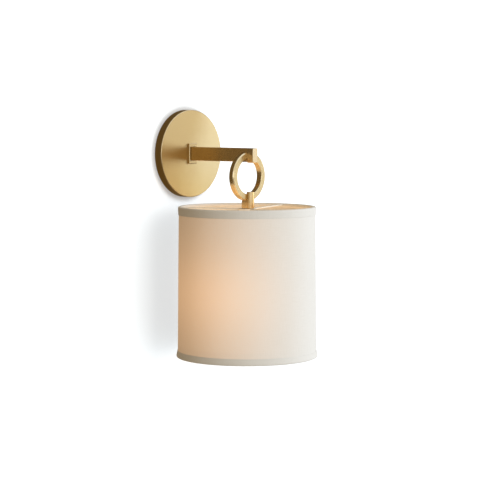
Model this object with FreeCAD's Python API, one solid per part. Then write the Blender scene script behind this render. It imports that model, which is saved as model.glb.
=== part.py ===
"""Wall light with a fabric drum shade.

A round brass backplate sits flat on the wall. A flat brass arm stands out of it, and its end holds a
brass ring. A short stem, flat behind and round in front, hangs from the bottom of the ring and
carries the shade and the lampholder.
Inside, two leads run from a terminal block behind the backplate, through the arm, round the ring
and down the stem to the lampholder.

Frame: millimetres, +Z up, -Y out of the wall into the room, +X to the right seen from the room.
The origin is on the wall, behind the centre of the backplate.
"""

import FreeCAD
import Part
import math
import os
from FreeCAD import Vector as V

# ---------------------------------------------------------------- driving dimensions, in millimetres
# Backplate: a turned brass dish, open at the wall.
plate_dia = 121.0
plate_depth = 12.2
plate_rim = 1.8
plate_face = 2.4
plate_edge = 0.7

# Wall bracket: a steel strap with an ear turned out at each end for the rim screws.
strap_width = 22.0
strap_thick = 1.8
ear_gap = 1.3
ear_reach = 7.4
bend_radius = 2.6
box_slot_spacing = 79.4
box_slot_length = 14.4
box_slot_width = 4.8
strap_wire_hole = 16.0
rim_screw_dia = 3.5
rim_screw_setback = 4.6
ground_screw_dia = 4.0
ground_screw_up = 19.0

# Arm: a flat bar on edge, with a square collar at its root and a separate block at its end.
arm_width = 9.6
arm_height = 18.6
arm_end = 130.1
arm_chamfer = 0.5
end_chamfer = 0.8
end_drop = 1.1
end_corner = 1.6
wire_bore_dia = 5.2
arm_screw_dia = 3.0
arm_screw_spacing = 12.8
arm_screw_depth = 12.0
arm_screw_head = 5.4
collar_width = 15.0
collar_height = 28.2
collar_thick = 3.1
collar_chamfer = 0.7
collar_reveal = 0.5

# Ring: a square-section ring, parallel to the wall, with a wire channel let into its back.
hang_axis = 115.0
ring_mean_dia = 57.2
ring_width = 8.6
ring_rise = -0.3
ring_thick = 8.8
ring_bevel_out = 1.3
ring_bevel_in = 0.5
channel_share = 0.55
channel_depth = 6.6
ring_cover_thick = 1.4
ring_fit = 0.1
pin_dia = 2.0
pin_length = 11.0
lock_screw_dia = 2.6
lock_screw_length = 4.0

# Stem and lamp pipe. The stem is flush with the back of the ring, and its round front stands
# in front of the ring. The pipe is on the hanging axis.
stem_width = 12.0
stem_reach = 10.9
stem_over = 7.9
stem_under = 14.8
stem_chamfer = 0.5
stem_pin_spread = 6.4
stem_pin_length = 5.0
stem_pin_in_ring = 1.7
pipe_dia = 7.2
pipe_bore = 5.6
pipe_in_stem = 7.0
pipe_below_hub = 17.0

# Shade: a laminated drum on two wire rings, hung from a three-armed spider.
shade_height = 204.8
shade_dia = 188.8
shade_taper = 3.6
rim_over_hub = 2.8
fabric_thick = 0.5
liner_thick = 0.5
laminate_gap = 0.03
wire_dia = 3.0
trim_thick = 0.6
trim_out_top = 1.0
trim_out_bottom = 1.8
top_trim_outside = 11.1
top_trim_inside = 12.0
bottom_trim_outside = 9.4
bottom_trim_inside = 17.0
trim_tuck = 5.8
hub_dia = 24.0
hub_thick = 2.0
hub_fit = 0.08
hub_lift = 0.1
spider_turn = 8.0
spider_arms = 3
spider_arm_dia = 2.8
spider_seat = 1.5
seam_width = 9.0
seam_thick = 0.4

# Lampholder: a brass shell with a screw shell for a medium Edison cap.
nut_width = 13.0
nut_thick = 3.0
cap_height = 21.0
cap_thick = 0.8
cap_fit = 0.1
cap_neck_dia = 14.0
cap_collar = 6.0
shell_dia = 36.6
shell_length = 41.0
shell_thick = 0.7
shell_overlap = 5.0
sleeve_thick = 0.8
sleeve_fit = 0.1
interior_height = 12.0
boss_height = 3.0
boss_dia = 26.6
screw_shell_thick = 0.5
screw_shell_length = 25.0
thread_pitch = 3.6
thread_depth = 0.45
contact_drop = 1.3
terminal_dia = 3.2
terminal_head = 5.6
terminal_reach = 11.0

# Lamp: a pear-shaped bulb on a medium Edison cap.
bulb_dia = 60.0
bulb_neck_dia = 29.0
bulb_flare_angle = 40.0
bulb_neck_length = 4.0
bulb_glass_thick = 0.9
bulb_cap_dia = 26.0
bulb_cap_length = 21.0
bulb_cap_thick = 0.5
bulb_insulator_height = 3.4
bulb_tip_dia = 9.6
bulb_tip_height = 1.6
bulb_seat = 0.1
mount_dia = 7.0
filament_wire = 0.9

# Leads and terminal block.
lead_dia = 1.7
lead_pitch = 1.9
lead_bend = 2.0
block_width = 10.0
block_height = 20.0
block_thick = 6.2
block_offset = 29.0
block_pitch = 10.0
block_screw_dia = 2.6
block_screw_head = 4.6

clear = 0.05
beyond = 60.0


# ---------------------------------------------------------------- places worked out from them
ring_mid_r = ring_mean_dia / 2
ring_z = ring_rise - ring_mid_r
ring_outer_dia = ring_mean_dia + ring_width
ring_inner_dia = ring_mean_dia - ring_width
ring_r = ring_outer_dia / 2
ring_hole_r = ring_inner_dia / 2
ring_front = -hang_axis - ring_thick / 2
ring_back = -hang_axis + ring_thick / 2
channel_width = channel_share * ring_width
stem_top = -(ring_z - ring_mid_r + stem_over)
stem_bottom = -(ring_z - ring_mid_r - stem_under)
hub_top = -stem_bottom - hub_lift
shade_top = -(hub_top + rim_over_hub)
shade_bottom = shade_top + shade_height
shade_bottom_dia = shade_dia
shade_top_dia = shade_dia - shade_taper
hub_bottom = hub_top - hub_thick
nut_top = hub_bottom - hub_lift
nut_bottom = nut_top - nut_thick
cap_top = nut_bottom - clear
cap_bottom = cap_top - cap_height
cap_dia = shell_dia + 2 * (cap_fit + cap_thick)
shell_top = cap_bottom + shell_overlap
shell_bottom = shell_top - shell_length
shell_inner_r = shell_dia / 2 - shell_thick
sleeve_outer_r = shell_inner_r - sleeve_fit
sleeve_inner_r = sleeve_outer_r - sleeve_thick
interior_top = cap_bottom + 1.5
interior_bottom = interior_top - interior_height
bulb_tip_top = interior_bottom - contact_drop - bulb_seat
bulb_cap_top = bulb_tip_top - bulb_tip_height - bulb_insulator_height
bulb_cap_bottom = bulb_cap_top - bulb_cap_length
flare = math.radians(bulb_flare_angle)
bulb_r = bulb_dia / 2
flare_radius = (bulb_r * math.cos(flare) - bulb_neck_dia / 2) / (1 - math.cos(flare))
bulb_neck_end = bulb_cap_bottom - bulb_neck_length
bulb_centre = bulb_neck_end - (flare_radius + bulb_r) * math.sin(flare)

# Each lead leaves the arm's bore along -Y, bends onto the ring's circle, and leaves that circle again
# at the bottom with a bend that brings it down the middle of the stem.
lead_side = lead_pitch / 2
lead_reach = math.hypot(ring_mid_r, lead_bend)
lead_lean = math.asin(lead_side / lead_reach)
lead_on = math.atan(lead_bend / ring_mid_r) + lead_lean
bore_z = ring_z + lead_reach * math.cos(lead_lean)
AXIS = V(0, -hang_axis, 0)


def fabric_r(z):
    """The outer radius of the shade fabric at a height."""
    share = (-z - shade_top) / (shade_bottom - shade_top)
    return (shade_top_dia + (shade_bottom_dia - shade_top_dia) * share) / 2


def liner_r(z):
    """The inner radius of the stiff liner bonded behind the fabric."""
    return fabric_r(z) - fabric_thick - laminate_gap - liner_thick


# ---------------------------------------------------------------- helpers
def block(low, high):
    """A box between two corners."""
    return Part.makeBox(high.x - low.x, high.y - low.y, high.z - low.z, low)


def rod(start, direction, length, dia):
    """A round bar."""
    return Part.makeCylinder(dia / 2, length, start, direction)


def turned(profile, centre=AXIS):
    """A solid turned about a vertical axis from a closed outline of (radius, height) points.

    A point may be a tuple of three numbers: (radius, height, bulge). The stretch that ends there is
    then an arc, whose middle stands that far to the left of the straight line.
    """
    edges = []
    for (start, end) in zip(profile, profile[1:] + profile[:1]):
        a = V(start[0], 0, start[1])
        b = V(end[0], 0, end[1])
        if len(end) == 3 and end[2]:
            along = (b - a).normalize()
            middle = (a + b) * 0.5 + V(-along.z, 0, along.x) * end[2]
            edges.append(Part.Arc(a, middle, b).toShape())
        else:
            edges.append(Part.LineSegment(a, b).toShape())
    face = Part.Face(Part.Wire(edges))
    solid = face.revolve(V(0, 0, 0), V(0, 0, 1), 360)
    solid.translate(V(centre.x, centre.y, 0))
    return solid


def annulus(outer_dia, inner_dia, back, front):
    """A flat ring about the brass ring's own axis, between two distances along Y."""
    start = V(0, back, ring_z)
    body = rod(start, V(0, -1, 0), back - front, outer_dia)
    if inner_dia:
        body = body.cut(rod(start + V(0, 1, 0), V(0, -1, 0), back - front + 2, inner_dia))
    return body


def edges_where(shape, test):
    """The edges of a shape whose middle point passes a test."""
    return [e for e in shape.Edges if test(e.valueAt((e.FirstParameter + e.LastParameter) / 2), e)]


def screw(seat, direction, dia, length, head_dia, head_height, slot=True):
    """A pan-head screw. Its shank starts at the seat and runs along the direction."""
    direction = V(direction).normalize()
    shank = rod(seat, direction, length, dia)
    head = rod(seat - direction * head_height, direction, head_height, head_dia)
    head = head.makeFillet(head_height * 0.4, edges_where(
        head, lambda p, e: (p - seat).dot(direction) < -head_height * 0.9 and e.Closed))
    body = head.fuse(shank)
    if slot:
        across = V(0, 0, 1) if abs(direction.z) < 0.5 else V(1, 0, 0)
        side = direction.cross(across)
        half = head_dia
        width = head_dia * 0.16
        cutter = Part.makeBox(2 * half, width, head_height * 0.45, V(-half, -width / 2, 0))
        cutter.Placement = FreeCAD.Placement(seat - direction * (head_height + 0.001), FreeCAD.Rotation(
            across, side, direction, "ZXY"))
        body = body.cut(cutter)
    return body.removeSplitter()


def hexagon_nut(centre_top, width, thick, bore):
    """A plain hexagon nut that hangs below a point on a vertical axis."""
    corner = width / math.sqrt(3)
    points = [V(corner * math.cos(math.radians(60 * k)), corner * math.sin(math.radians(60 * k)), 0)
              for k in range(6)]
    face = Part.Face(Part.makePolygon(points + points[:1]))
    nut = face.extrude(V(0, 0, -thick))
    nut = nut.common(turned([(0, 0), (width / 2, 0), (corner, -0.6), (corner, -thick + 0.6),
                             (width / 2, -thick), (0, -thick)], V(0, 0, 0)))
    nut = nut.cut(rod(V(0, 0, 1), V(0, 0, -1), thick + 2, bore))
    nut.translate(centre_top)
    return nut


def tube(points, radii, dia):
    """A round lead along straight runs joined by tangent arcs. Each inner point has its own radius."""
    pieces = []
    start = points[0]
    for k in range(1, len(points) - 1):
        before = (points[k] - points[k - 1]).normalize()
        after = (points[k + 1] - points[k]).normalize()
        turn = math.acos(max(-1, min(1, before.dot(after))))
        reach = radii[k - 1] * math.tan(turn / 2)
        arc_start = points[k] - before * reach
        normal = before.cross(after).normalize()
        inward = normal.cross(before).normalize()
        centre = arc_start + inward * radii[k - 1]
        pieces.append(rod(start, before, (arc_start - start).Length, dia))
        disc = Part.Face(Part.Wire(Part.makeCircle(dia / 2, arc_start, before)))
        pieces.append(disc.revolve(centre, normal, math.degrees(turn)))
        start = points[k] + after * reach
    last = (points[-1] - start)
    pieces.append(rod(start, V(last).normalize(), last.Length, dia))
    return pieces[0].multiFuse(pieces[1:]).removeSplitter()


# ---------------------------------------------------------------- wall side
def make_backplate():
    """The dish: a face and a rim, its front edge broken, with holes for the leads and the screws."""
    r = plate_dia / 2
    inner = r - plate_rim
    dish = turned([(0, plate_depth), (r - plate_edge, plate_depth), (r, plate_depth - plate_edge),
                   (r, 0), (inner, 0), (inner, plate_depth - plate_face), (0, plate_depth - plate_face)],
                  V(0, 0, 0))
    dish.rotate(V(0, 0, 0), V(1, 0, 0), 90)
    dish = dish.cut(rod(V(0, 1, bore_z), V(0, -1, 0), plate_depth + 2, wire_bore_dia))
    for side in (1, -1):
        dish = dish.cut(rod(V(0, 1, side * arm_screw_spacing / 2), V(0, -1, 0), plate_depth + 2,
                            arm_screw_dia + 2 * clear))
        dish = dish.cut(rod(V(0, -rim_screw_setback, side * (inner - 1)), V(0, 0, side),
                            plate_rim + 2, rim_screw_dia + 2 * clear))
    return dish.cut(rod(block_seat(), V(0, -1, 0), plate_face * 0.7, block_screw_dia + 2 * clear))


def make_wall_bracket():
    """The strap, with a bend and an ear at each end, and slots for the screws of a wall box."""
    half = plate_dia / 2 - plate_rim - ear_gap
    body = block(V(-strap_width / 2, -ear_reach, -half), V(strap_width / 2, 0, half))
    body = body.cut(block(V(-strap_width, -ear_reach - 1, -half + strap_thick),
                          V(strap_width, -strap_thick, half - strap_thick)))
    body = body.makeFillet(bend_radius, edges_where(
        body, lambda p, e: abs(p.y) < 0.01 and abs(abs(p.z) - half) < 0.01 and abs(p.x) < 0.01))
    body = body.makeFillet(bend_radius - strap_thick, edges_where(
        body, lambda p, e: abs(p.y + strap_thick) < 0.01 and abs(p.x) < 0.01
        and abs(abs(p.z) - half + strap_thick) < 0.01))
    body = body.cut(rod(V(0, 1, 0), V(0, -1, 0), strap_thick + 2, strap_wire_hole))
    straight = box_slot_length - box_slot_width
    for side in (1, -1):
        middle = side * box_slot_spacing / 2
        body = body.cut(block(V(-box_slot_width / 2, -strap_thick - 1, middle - straight / 2),
                              V(box_slot_width / 2, 1, middle + straight / 2)))
        for end in (-straight / 2, straight / 2):
            body = body.cut(rod(V(0, 1, middle + end), V(0, -1, 0), strap_thick + 2, box_slot_width))
        body = body.cut(rod(V(0, -rim_screw_setback, side * (half + 1)), V(0, 0, -side),
                            strap_thick + 2, rim_screw_dia + 2 * clear))
    body = body.cut(rod(V(0, 1, ground_screw_up), V(0, -1, 0), strap_thick + 2,
                        ground_screw_dia + 2 * clear))
    return body.removeSplitter()


def make_rim_screws():
    """Two socket grub screws that pass through the rim into the bracket ears."""
    outer = plate_dia / 2 - 0.3
    inner = plate_dia / 2 - plate_rim - ear_gap - strap_thick - 1.2
    found = []
    for side in (1, -1):
        body = rod(V(0, -rim_screw_setback, side * inner), V(0, 0, side), outer - inner, rim_screw_dia)
        found.append(body.cut(rod(V(0, -rim_screw_setback, side * (outer - 1.5)), V(0, 0, side),
                                  2.5, rim_screw_dia / 2)))
    return Part.makeCompound(found)


def make_ground_screw():
    """The earth screw in the strap, its head towards the room."""
    return screw(V(0, -strap_thick, ground_screw_up), V(0, 1, 0), ground_screw_dia,
                 strap_thick - 0.2, 8.0, 2.4)


def make_arm_screws():
    """Two screws from inside the dish into the root of the arm."""
    seat = -(plate_depth - plate_face)
    return Part.makeCompound([screw(V(0, seat, side * arm_screw_spacing / 2), V(0, -1, 0), arm_screw_dia,
                                    plate_face + arm_screw_depth - 1, arm_screw_head, 2.0)
                              for side in (1, -1)])


def block_seat():
    """Where the terminal block's own screw enters the inside face of the dish."""
    return V(block_offset, -(plate_depth - plate_face), 0)


def lead_rows():
    """Where each lead enters the terminal block: (depth, height) for the right and the left lead."""
    middle = -(plate_depth - plate_face) + block_thick / 2
    return ((middle - lead_pitch / 2, block_pitch / 2), (middle + lead_pitch / 2, -block_pitch / 2))


def make_terminal_block():
    """A moulded two-way block on the inside face of the dish."""
    back = -(plate_depth - plate_face)
    left = block_offset - block_width / 2
    body = block(V(left, back, -block_height / 2), V(left + block_width, back + block_thick,
                                                      block_height / 2))
    body = body.makeFillet(0.8, edges_where(body, lambda p, e: p.y > back + block_thick - 0.01))
    body = body.cut(rod(V(block_offset, 1, 0), V(0, -1, 0), beyond, block_screw_dia + 2 * clear))
    body = body.cut(rod(V(block_offset, back + block_thick + 1, 0), V(0, -1, 0), 3.2,
                        block_screw_head + 0.4))
    for depth, height in lead_rows():
        body = body.cut(rod(V(left - 1, depth, height), V(1, 0, 0), block_width - 1, lead_dia + 0.3))
        body = body.cut(rod(V(block_offset, back + block_thick + 1, height), V(0, -1, 0),
                            back + block_thick + 1 - depth, block_screw_dia + 2 * clear))
    return body.removeSplitter()


def make_terminal_block_screws():
    """The fixing screw of the block and its two clamping screws, all the same."""
    back = -(plate_depth - plate_face)
    fixing = screw(V(block_offset, back + block_thick - 2.2, 0), V(0, -1, 0), block_screw_dia,
                   block_thick - 2.2 + 1.5, block_screw_head, 1.4)
    found = [fixing]
    for depth, height in lead_rows():
        top = back + block_thick - 0.4
        length = top - depth - lead_dia / 2 - clear
        found.append(rod(V(block_offset, top, height), V(0, -1, 0), length, block_screw_dia))
    return Part.makeCompound(found)


# ---------------------------------------------------------------- arm
def ring_space():
    """The room the ring takes up, with its fit all round."""
    return annulus(ring_outer_dia + 2 * ring_fit, ring_inner_dia - 2 * ring_fit,
                   ring_back + ring_fit, ring_front - ring_fit)


def arm_pin_places():
    """Start points of the three dowel pins that hold the end block; they run along -Y."""
    strip = (ring_front + ring_back) / 2 + pin_length / 2 - 3.2
    high = (arm_height / 2 + ring_z + ring_r) / 2
    side = arm_width / 2 - pin_dia / 2 - 0.8
    return [V(side, strip, high), V(-side, strip, high),
            V(0, ring_back + pin_length / 2, (ring_z + ring_hole_r - arm_height / 2) / 2 - 0.3)]


def make_arm():
    """The bar: bored for the leads, drilled for its screws, and notched at the end for the ring."""
    half = arm_height / 2
    body = block(V(-arm_width / 2, ring_front - ring_fit, -half), V(arm_width / 2, -plate_depth, half))
    body = body.makeChamfer(arm_chamfer, edges_where(
        body, lambda p, e: abs(abs(p.x) - arm_width / 2) < 0.01 and abs(abs(p.z) - half) < 0.01))
    body = body.cut(block(V(-arm_width, ring_front - 5, -half - 1),
                          V(arm_width, ring_back + ring_fit, ring_z + ring_r - 1.5)))
    body = body.cut(ring_space())
    body = body.cut(rod(V(0, 0, bore_z), V(0, -1, 0), -ring_back, wire_bore_dia))
    for side in (1, -1):
        body = body.cut(rod(V(0, 0, side * arm_screw_spacing / 2), V(0, -1, 0),
                            plate_depth + arm_screw_depth, arm_screw_dia + 2 * clear))
    for place in arm_pin_places():
        body = body.cut(rod(place + V(0, clear, 0), V(0, -1, 0), pin_length + 2 * clear,
                            pin_dia + 2 * clear))
    body = body.cut(rod(V(0, -hang_axis, 0), V(0, 0, 1), half + 1, lock_screw_dia + 2 * clear))
    return body.removeSplitter()


def make_arm_end_block():
    """The block that closes the notch: a face plate, and a tongue that passes under the ring."""
    half = arm_height / 2
    back = ring_front - ring_fit - clear
    low = -half - end_drop
    plate = block(V(-arm_width / 2, -arm_end, low), V(arm_width / 2, back, half))
    plate = plate.makeFillet(end_corner, edges_where(
        plate, lambda p, e: abs(abs(p.x) - arm_width / 2) < 0.01 and abs(p.z - low) < 0.01))
    plate = plate.makeChamfer(arm_chamfer, edges_where(
        plate, lambda p, e: abs(abs(p.x) - arm_width / 2) < 0.01 and abs(p.z - half) < 0.01))
    plate = plate.makeChamfer(end_chamfer, edges_where(plate, lambda p, e: abs(p.y + arm_end) < 0.01))
    tongue = block(V(-arm_width / 2, back - 0.5, -half), V(arm_width / 2, ring_back + ring_fit - clear,
                                                          ring_z + ring_hole_r + 1.5))
    body = plate.fuse(tongue).cut(ring_space())
    for place in arm_pin_places():
        body = body.cut(rod(place + V(0, clear, 0), V(0, -1, 0), pin_length + 2 * clear,
                            pin_dia + 2 * clear))
    return body.removeSplitter()


def make_arm_pins():
    """The dowel pins of the end block."""
    return Part.makeCompound([rod(p, V(0, -1, 0), pin_length, pin_dia) for p in arm_pin_places()])


def make_ring_lock_screw():
    """A socket grub screw, down through the arm onto the top of the ring."""
    foot = ring_z + ring_r + clear
    body = rod(V(0, -hang_axis, foot), V(0, 0, 1), lock_screw_length, lock_screw_dia)
    return body.cut(rod(V(0, -hang_axis, foot + lock_screw_length - 1.4), V(0, 0, 1), 2,
                        lock_screw_dia / 2))


def make_arm_collar():
    """A square picture-frame collar on the face of the dish, a shadow gap clear of the arm."""
    body = block(V(-collar_width / 2, -plate_depth - collar_thick, -collar_height / 2),
                 V(collar_width / 2, -plate_depth, collar_height / 2))
    body = body.makeChamfer(collar_chamfer, edges_where(
        body, lambda p, e: p.y < -plate_depth - collar_thick + 0.01))
    across = arm_width / 2 + collar_reveal
    up = arm_height / 2 + collar_reveal
    return body.cut(block(V(-across, -plate_depth - collar_thick - 1, -up), V(across, 0, up)))


# ---------------------------------------------------------------- ring
def make_ring():
    """The ring, with its wire channel open at the back and a hole down into the stem."""
    body = annulus(ring_outer_dia, ring_inner_dia, ring_back, ring_front)
    for dia, bevel in ((ring_outer_dia, ring_bevel_out), (ring_inner_dia, ring_bevel_in)):
        rims = [e for e in body.Edges if e.Closed and abs(2 * e.Curve.Radius - dia) < 0.01]
        body = body.makeChamfer(bevel, rims)
    body = body.cut(annulus(2 * ring_mid_r + channel_width, 2 * ring_mid_r - channel_width,
                            ring_back + 1, ring_back - channel_depth))
    body = body.cut(stem_pin_rods(clear))
    return body.cut(rod(V(0, -hang_axis, ring_z - ring_mid_r), V(0, 0, -1), beyond, wire_bore_dia))


def make_ring_cover():
    """The strip that closes the channel, open at the top where the leads come in."""
    body = annulus(2 * ring_mid_r + channel_width - 2 * clear, 2 * ring_mid_r - channel_width
                   + 2 * clear, ring_back, ring_back - ring_cover_thick)
    gap = wire_bore_dia / 2 + 0.3
    return body.cut(block(V(-gap, ring_front, ring_z), V(gap, 0, 10)))


# ---------------------------------------------------------------- stem
def stem_bar(high, low):
    """An upright bar of the stem's section: flat back, straight sides, half-round front."""
    r = stem_width / 2
    middle = -hang_axis - stem_reach + r
    body = block(V(-r, middle, low), V(r, ring_back, high))
    return body.fuse(rod(V(0, middle, low), V(0, 0, 1), high - low, 2 * r)).removeSplitter()


def stem_pin_rods(slack):
    """The two dowels between the ring and the stem, larger all round by the slack for their holes."""
    found = []
    for side in (1, -1):
        start = V(side * stem_pin_spread / 2, ring_front + stem_pin_in_ring + slack,
                  ring_z - ring_mid_r)
        found.append(rod(start, V(0, -1, 0), stem_pin_length + 2 * slack, pin_dia + 2 * slack))
    return Part.makeCompound(found)


def make_stem():
    """The stem: a notch behind takes the ring, with the round front standing up before it."""
    body = stem_bar(-stem_top, -stem_bottom)
    body = body.makeChamfer(stem_chamfer, edges_where(
        body, lambda p, e: abs(p.z + stem_top) < 0.01 or abs(p.z + stem_bottom) < 0.01))
    body = body.cut(block(V(-stem_width, ring_front - ring_fit, ring_z - ring_mid_r),
                          V(stem_width, ring_back + 1, -stem_top + 1)))
    body = body.cut(ring_space())
    body = body.cut(stem_pin_rods(clear))
    body = body.cut(rod(V(0, -hang_axis, ring_z - ring_mid_r), V(0, 0, -1), beyond, wire_bore_dia))
    body = body.cut(rod(V(0, -hang_axis, -stem_bottom + pipe_in_stem), V(0, 0, -1), beyond,
                        pipe_dia + 2 * clear))
    return body.removeSplitter()


def make_stem_pins():
    """The two dowels that hold the ring against the stem."""
    return stem_pin_rods(0)


def make_lamp_pipe():
    """The threaded pipe that the shade and the lampholder hang on."""
    top = -stem_bottom + pipe_in_stem - clear
    low = hub_bottom - pipe_below_hub
    return turned([(pipe_bore / 2, top), (pipe_bore / 2, low), (pipe_dia / 2 - 0.5, low),
                   (pipe_dia / 2, low + 0.5), (pipe_dia / 2, top - 0.5), (pipe_dia / 2 - 0.5, top)])


def make_hub_nut():
    """The nut under the spider's hub."""
    return hexagon_nut(V(0, -hang_axis, nut_top), nut_width, nut_thick, pipe_dia + 2 * clear)


# ---------------------------------------------------------------- shade
def wire_place(rim_z, way):
    """Radius and height of the middle of the rim wire. way is -1 at the top rim, +1 at the bottom."""
    height = rim_z + way * (trim_thick + laminate_gap + wire_dia / 2)
    return liner_r(height) - laminate_gap - wire_dia / 2, height


def wire_ring(rim_z, way):
    """A round wire hoop."""
    radius, height = wire_place(rim_z, way)
    return Part.makeTorus(radius, wire_dia / 2, V(0, -hang_axis, height), V(0, 0, 1))


def spider_rods(dia):
    """The arms of the spider, from inside the hub to the middle of the top wire."""
    radius, height = wire_place(-shade_top, -1)
    found = []
    for k in range(spider_arms):
        turn = math.radians(spider_turn + 360.0 * k / spider_arms)
        start = V(hub_dia / 2 - 3, 0, hub_top - spider_seat)
        end = V(radius, 0, height)
        line = end - start
        arm = rod(start, V(line).normalize(), line.Length, dia)
        arm.rotate(V(0, 0, 0), V(0, 0, 1), math.degrees(turn))
        arm.translate(AXIS)
        found.append(arm)
    return found


def make_spider():
    """The washer-shaped hub that turns on the lamp pipe, and three arms out to the top wire."""
    hub = turned([(pipe_dia / 2 + hub_fit, hub_top), (pipe_dia / 2 + hub_fit, hub_bottom),
                  (hub_dia / 2 - 0.4, hub_bottom), (hub_dia / 2, hub_bottom + 0.4),
                  (hub_dia / 2, hub_top - 0.4), (hub_dia / 2 - 0.4, hub_top)])
    body = hub
    for arm in spider_rods(spider_arm_dia):
        body = body.fuse(arm)
    radius, height = wire_place(-shade_top, -1)
    hoop = Part.makeTorus(radius, wire_dia / 2 + clear, V(0, -hang_axis, height), V(0, 0, 1))
    outside = rod(V(0, -hang_axis, height - 5), V(0, 0, 1), 10, 2 * radius + 20).cut(
        rod(V(0, -hang_axis, height - 5), V(0, 0, 1), 10, 2 * radius))
    return body.cut(hoop).cut(outside)


def make_top_wire():
    """The hoop in the top rim, welded to the ends of the spider's arms."""
    return wire_ring(-shade_top, -1)


def make_bottom_wire():
    """The hoop in the bottom rim."""
    return wire_ring(-shade_bottom, 1)


def skin(outer, thick):
    """A thin cone between the two rims. outer gives its outer radius at a height."""
    high = -shade_top - trim_thick - laminate_gap
    low = -shade_bottom + trim_thick + laminate_gap
    return turned([(outer(high) - thick, high), (outer(low) - thick, low), (outer(low), low),
                   (outer(high), high)])


def make_shade_fabric():
    """The woven outer skin."""
    return skin(fabric_r, fabric_thick)


def make_shade_liner():
    """The stiff inner skin."""
    return skin(lambda z: fabric_r(z) - fabric_thick - laminate_gap, liner_thick)


def make_shade_seam():
    """The overlap of the fabric, a flat upright strip at the wall side."""
    high = -shade_top - top_trim_outside - 0.2
    low = -shade_bottom + bottom_trim_outside + 0.2
    strip = turned([(fabric_r(high) + laminate_gap, high), (fabric_r(low) + laminate_gap, low),
                    (fabric_r(low) + laminate_gap + seam_thick, low),
                    (fabric_r(high) + laminate_gap + seam_thick, high)])
    return strip.common(block(V(-seam_width / 2, -hang_axis, low - 1), V(seam_width / 2, 0, high + 1)))


def trim_tape(rim_z, way, outside, inside, out):
    """A tape folded over a rim and its wire. Its outer leg is flat below and full at the rim."""
    c = laminate_gap
    t = trim_thick
    wire_r, wire_z = wire_place(rim_z, way)

    def at(u):
        return rim_z + way * u

    def fold(radius, u):
        return (radius, at(u))

    around = wire_r - wire_dia / 2 - c
    outline = [fold(fabric_r(at(outside)) + c, outside),
               fold(fabric_r(at(outside)) + c + t * 0.8, outside),
               fold(fabric_r(at(outside)) + c + t, outside - 0.4),
               fold(fabric_r(at(4)) + c + out * 0.9, 4.0),
               fold(fabric_r(at(2)) + c + out, 2.0),
               fold(fabric_r(at(0.7)) + c + out * 0.72, 0.7),
               fold(fabric_r(at(0)) + c - 0.1, 0.0),
               fold(wire_r - 0.9, 0.0),
               fold(around - t * 0.6, 0.7),
               fold(around - t, 1.9),
               fold(around - t, wire_dia + 0.2),
               fold(liner_r(at(trim_tuck + 0.9)) - c - t, trim_tuck + 0.9),
               fold(liner_r(at(inside)) - c - t, inside),
               fold(liner_r(at(inside)) - c, inside),
               fold(liner_r(at(trim_tuck)) - c, trim_tuck),
               fold(around, wire_dia),
               fold(around, t),
               fold(fabric_r(at(t)) + c, t)]
    return turned(outline)


def make_top_trim():
    """The top tape, with a hole where each spider arm passes through it."""
    body = trim_tape(-shade_top, -1, top_trim_outside, top_trim_inside, trim_out_top)
    for arm in spider_rods(spider_arm_dia + 2 * clear):
        body = body.cut(arm)
    return body


def make_bottom_trim():
    """The bottom tape; its inner leg is the deeper one."""
    return trim_tape(-shade_bottom, 1, bottom_trim_outside, bottom_trim_inside, trim_out_bottom)


# ---------------------------------------------------------------- lampholder
def make_socket_cap():
    """The brass cap, screwed on the end of the lamp pipe."""
    bore = pipe_dia / 2 + clear
    neck = cap_neck_dia / 2
    r = cap_dia / 2
    shoulder = cap_top - cap_collar
    return turned([(bore, cap_top), (bore, shoulder - cap_thick), (neck - 1, shoulder - cap_thick),
                   (r - cap_thick - 3.2, shoulder - 4.4), (r - cap_thick, shoulder - 8.2),
                   (r - cap_thick, cap_bottom), (r, cap_bottom), (r, shoulder - 7.8),
                   (r - 2.9, shoulder - 3.6), (neck, shoulder), (neck, cap_top - 0.4),
                   (neck - 0.4, cap_top)])


def make_socket_shell():
    """The brass shell, pressed into the cap, with a bead round its mouth."""
    r = shell_dia / 2
    return turned([(shell_inner_r, shell_top), (shell_inner_r, shell_bottom), (r + 0.5, shell_bottom),
                   (r + 0.9, shell_bottom + 0.8), (r + 0.5, shell_bottom + 1.6),
                   (r, shell_bottom + 2.0), (r, shell_top)])


def make_socket_sleeve():
    """The insulating sleeve inside the shell."""
    return turned([(sleeve_inner_r, shell_top), (sleeve_inner_r, shell_bottom + 0.8),
                   (sleeve_outer_r, shell_bottom + 0.8), (sleeve_outer_r, shell_top)])


def make_socket_interior():
    """The moulded insulator, with a boss that the screw shell is fixed on."""
    r = sleeve_inner_r - sleeve_fit
    ledge = interior_bottom + boss_height
    body = turned([(0, interior_top), (0, interior_bottom), (boss_dia / 2, interior_bottom),
                   (boss_dia / 2, ledge), (r, ledge), (r, interior_top - 0.6),
                   (r - 0.6, interior_top)])
    for side in (1, -1):
        body = body.cut(rod(V(side * terminal_reach, -hang_axis, interior_top + 1), V(0, 0, -1),
                            1 + 6, terminal_dia + 2 * clear))
    return body.cut(rod(V(0, -hang_axis, interior_bottom - 1), V(0, 0, 1), 4, 3.0 + 2 * clear))


def make_screw_shell():
    """The screw shell, with the rolled waves of its thread."""
    inner = boss_dia / 2 + clear
    high = interior_bottom + boss_height - clear
    low = high - screw_shell_length
    waves = int((screw_shell_length - boss_height - 2) // thread_pitch)
    right, left = [], []
    z = interior_bottom - 1
    for k in range(waves):
        right += [(inner, z), (inner + thread_depth, z - thread_pitch / 2)]
        left += [(inner + screw_shell_thick, z),
                 (inner + screw_shell_thick + thread_depth, z - thread_pitch / 2)]
        z -= thread_pitch
    inside = [(inner, high)] + right + [(inner, z), (inner, low)]
    outside = [(inner + screw_shell_thick, high)] + left
    outside += [(inner + screw_shell_thick, z), (inner + screw_shell_thick, low)]
    return turned(inside + outside[::-1])


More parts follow.
